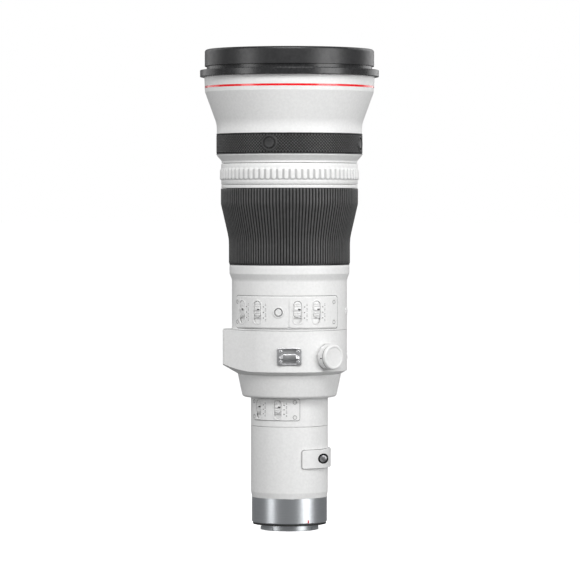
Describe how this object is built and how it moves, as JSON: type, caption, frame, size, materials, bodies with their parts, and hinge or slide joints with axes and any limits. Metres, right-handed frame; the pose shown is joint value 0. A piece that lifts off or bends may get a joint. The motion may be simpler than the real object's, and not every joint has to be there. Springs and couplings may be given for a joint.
{
  "type": "super-telephoto lens",
  "caption": "Long white telephoto lens with a flared front, ribbed focus ring, rotating tripod collar, drop-in filter holder and bayonet mount.",
  "frame": {"origin": "on the optical axis, level with the lowest edge of the bayonet", "axes": "+Z along the optical axis to the front rim, -X towards the foot pad of the collar, -Y towards the switch panels"},
  "size_m": [0.163, 0.163, 0.4373],
  "materials": {
    "white_paint": "fine heat-shield white enamel",
    "black_paint": "semi-gloss black",
    "red_paint": "gloss red enamel",
    "grip_rubber": "matt black rubber, finely ribbed or knurled",
    "black_metal": "black anodised",
    "white_plastic": "matt white",
    "black_plastic": "matt black",
    "mount_metal": "satin turned metal",
    "lug_metal": "satin chrome",
    "screw_metal": "satin steel",
    "contact_gold": "gold plated",
    "lens_glass": "coated optical glass",
    "board_green": "solder mask"
  },
  "bodies": {
    "barrel": {"front_rim": "black_paint", "front_element": "lens_glass", "front_retainer": "black_metal", "front_barrel": "white_paint", "accent_ring": "red_paint", "front_grip": "grip_rubber", "doublet_cell": "black_metal", "front_doublet": "lens_glass", "chassis_tube": "black_metal", "ring_divider": "white_paint", "main_barrel": "white_paint", "switch_panel_left": "white_paint", "switch_panel_right": "white_paint", "focus_rods": "screw_metal", "focus_motor": "screw_metal", "iris_unit": "black_plastic", "stabiliser_base": "black_metal", "rear_cone": "white_paint", "circuit_board": "board_green", "switch_housing": "white_paint", "switch_panel_lower": "white_paint", "panel_screws": "white_paint", "rear_tube": "white_paint", "rear_cell": "black_metal", "rear_element": "lens_glass", "rear_baffle": "black_plastic", "mount_ring": "mount_metal", "mount_seal": "grip_rubber", "bayonet": "mount_metal", "mount_screws": "screw_metal", "contact_block": "black_plastic", "contact_pins": "contact_gold"},
    "preset_ring": {"preset_ring": "white_paint"},
    "focus_ring": {"focus_sleeve": "black_metal", "focus_rubber": "grip_rubber"},
    "set_button": {"set_button": "white_plastic"},
    "focus_group": {"focus_cell": "black_metal", "focus_lens": "lens_glass"},
    "stabiliser_x": {"stabiliser_frame_x": "black_plastic"},
    "stabiliser_y": {"stabiliser_frame_y": "black_plastic", "stabiliser_lens": "lens_glass"},
    "tripod_collar": {"tripod_collar": "white_paint", "strap_lugs": "lug_metal", "lug_screws": "screw_metal"},
    "lock_knob": {"lock_knob": "white_plastic"},
    "brake_shoe": {"brake_shoe": "black_plastic"},
    "filter_holder": {"filter_holder": "white_plastic", "filter_glass": "lens_glass"},
    "stop_button_1": {"stop_button_1": "black_plastic"},
    "stop_button_2": {"stop_button_2": "black_plastic"},
    "stop_button_3": {"stop_button_3": "black_plastic"},
    "stop_button_4": {"stop_button_4": "black_plastic"},
    "switch_knob_1": {"switch_knob_1": "white_plastic"},
    "switch_knob_2": {"switch_knob_2": "white_plastic"},
    "switch_knob_3": {"switch_knob_3": "white_plastic"},
    "switch_knob_4": {"switch_knob_4": "white_plastic"},
    "switch_knob_5": {"switch_knob_5": "white_plastic"},
    "switch_knob_6": {"switch_knob_6": "white_plastic"},
    "filter_button_1": {"filter_button_1": "screw_metal"},
    "filter_button_2": {"filter_button_2": "screw_metal"}
  },
  "joints": [
    {"name": "focus_turn", "type": "hinge", "parent": "barrel", "child": "focus_ring", "pos_m": [0, 0, 0.2753], "axis": [0, 0, 1], "continuous": true},
    {"name": "preset_turn", "type": "hinge", "parent": "barrel", "child": "preset_ring", "pos_m": [0, 0, 0.324], "axis": [0, 0, 1], "range_deg": [-8, 8], "stiffness_Nm_per_rad": 0.4},
    {"name": "collar_turn", "type": "hinge", "parent": "barrel", "child": "tripod_collar", "pos_m": [0, 0, 0.1623], "axis": [0, 0, 1], "continuous": true},
    {"name": "lock_knob_turn", "type": "hinge", "parent": "tripod_collar", "child": "lock_knob", "pos_m": [0.0367, -0.04374, 0.1592], "axis": [0.6428, -0.766, 0], "range_deg": [0, 288]},
    {"name": "brake_slide", "type": "slide", "parent": "tripod_collar", "child": "brake_shoe", "axis": [0.6428, -0.766, 0], "range_m": [0, 0.0004]},
    {"name": "focus_group_slide", "type": "slide", "parent": "barrel", "child": "focus_group", "axis": [0, 0, 1], "range_m": [-0.014, 0.014]},
    {"name": "stabiliser_x_slide", "type": "slide", "parent": "barrel", "child": "stabiliser_x", "axis": [1, 0, 0], "range_m": [-0.001, 0.001], "stiffness_N_per_m": 300},
    {"name": "stabiliser_y_slide", "type": "slide", "parent": "stabiliser_x", "child": "stabiliser_y", "axis": [0, 1, 0], "range_m": [-0.001, 0.001], "stiffness_N_per_m": 300},
    {"name": "set_press", "type": "slide", "parent": "barrel", "child": "set_button", "axis": [0.1857, 0.9826, 0], "range_m": [0, 0.0006], "stiffness_N_per_m": 400},
    {"name": "filter_slide", "type": "slide", "parent": "barrel", "child": "filter_holder", "axis": [1, 0, 0], "range_m": [0, 0.075]},
    {"name": "stop_press_1", "type": "slide", "parent": "barrel", "child": "stop_button_1", "axis": [0.2689, 0.9632, 0], "range_m": [0, 0.0008], "stiffness_N_per_m": 400},
    {"name": "stop_press_2", "type": "slide", "parent": "barrel", "child": "stop_button_2", "axis": [-0.9632, 0.2689, 0], "range_m": [0, 0.0008], "stiffness_N_per_m": 400},
    {"name": "stop_press_3", "type": "slide", "parent": "barrel", "child": "stop_button_3", "axis": [-0.2689, -0.9632, 0], "range_m": [0, 0.0008], "stiffness_N_per_m": 400},
    {"name": "stop_press_4", "type": "slide", "parent": "barrel", "child": "stop_button_4", "axis": [0.9632, -0.2689, 0], "range_m": [0, 0.0008], "stiffness_N_per_m": 400},
    {"name": "switch_slide_1", "type": "slide", "parent": "barrel", "child": "switch_knob_1", "axis": [0, 0, 1], "range_m": [-0.0054, 0]},
    {"name": "switch_slide_2", "type": "slide", "parent": "barrel", "child": "switch_knob_2", "axis": [0, 0, 1], "range_m": [-0.0054, 0]},
    {"name": "switch_slide_3", "type": "slide", "parent": "barrel", "child": "switch_knob_3", "axis": [0, 0, 1], "range_m": [-0.0054, 0]},
    {"name": "switch_slide_4", "type": "slide", "parent": "barrel", "child": "switch_knob_4", "axis": [0, 0, 1], "range_m": [-0.0054, 0]},
    {"name": "switch_slide_5", "type": "slide", "parent": "barrel", "child": "switch_knob_5", "axis": [0, 0, 1], "range_m": [-0.0048, 0]},
    {"name": "switch_slide_6", "type": "slide", "parent": "barrel", "child": "switch_knob_6", "axis": [0, 0, 1], "range_m": [-0.0048, 0]},
    {"name": "filter_press_1", "type": "slide", "parent": "filter_holder", "child": "filter_button_1", "axis": [0, 1, 0], "range_m": [0, 0.0015], "stiffness_N_per_m": 300},
    {"name": "filter_press_2", "type": "slide", "parent": "filter_holder", "child": "filter_button_2", "axis": [0, -1, 0], "range_m": [0, 0.0015], "stiffness_N_per_m": 300}
  ],
  "couplings": [
    {"joint": "brake_slide", "follows": "lock_knob_turn", "m_per_rad": 0.000079577}
  ]
}
